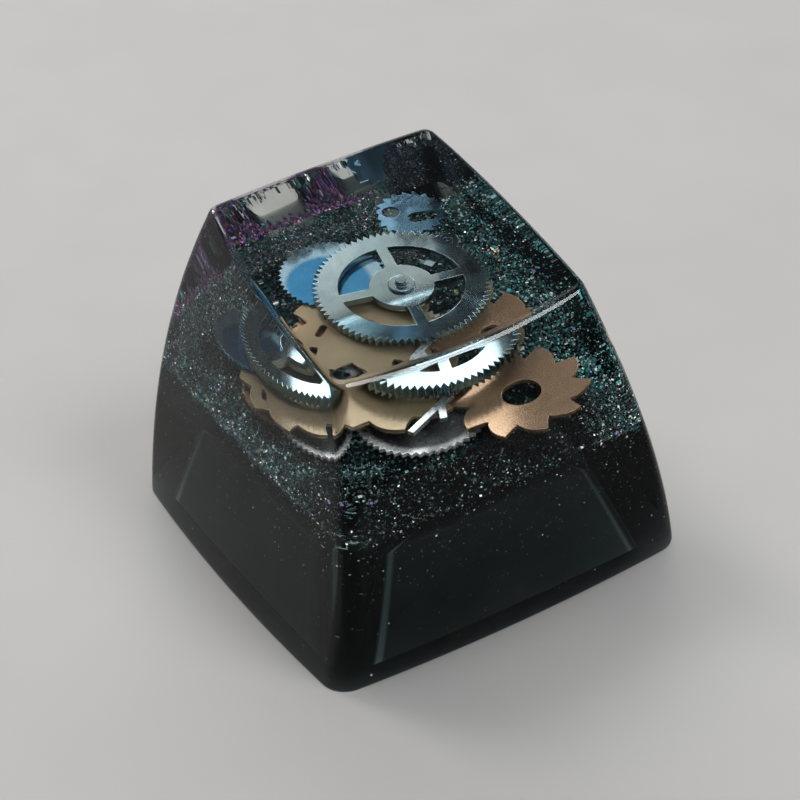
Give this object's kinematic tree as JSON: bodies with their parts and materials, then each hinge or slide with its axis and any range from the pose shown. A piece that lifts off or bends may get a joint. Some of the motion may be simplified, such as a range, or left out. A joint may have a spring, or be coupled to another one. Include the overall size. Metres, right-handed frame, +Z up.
{
  "type": "artisan keycap",
  "caption": "Tall sculpted resin keycap with a dished top: watch wheels cast in a clear crown over a dark glitter base with a cross-shaped stem socket.",
  "frame": {"origin": "centre of the base outline, on the plane of the bottom rim", "axes": "+Z up through the dished top, -Y towards the user (the low side of the dish), +X to the user's right"},
  "size_m": [0.0184, 0.0186, 0.0157],
  "materials": {
    "clear_resin": "polished clear",
    "glitter_resin": "polished, dark and full of fine glitter",
    "bright_steel": "satin steel",
    "blued_steel": "blued steel",
    "copper": "polished copper",
    "bronze": "polished bronze"
  },
  "bodies": {
    "root": {"clear_crown": "clear_resin", "glitter_base": "glitter_resin", "lower_wheel": "bright_steel", "copper_wheel": "copper", "claw_wheel": "copper", "fork_lever": "bright_steel", "bronze_wheel": "bronze", "blued_wheel": "blued_steel", "star_wheel": "blued_steel", "click_arm": "bright_steel", "main_wheel": "bright_steel", "wheel_arbor": "bright_steel"}
  },
  "joints": []
}
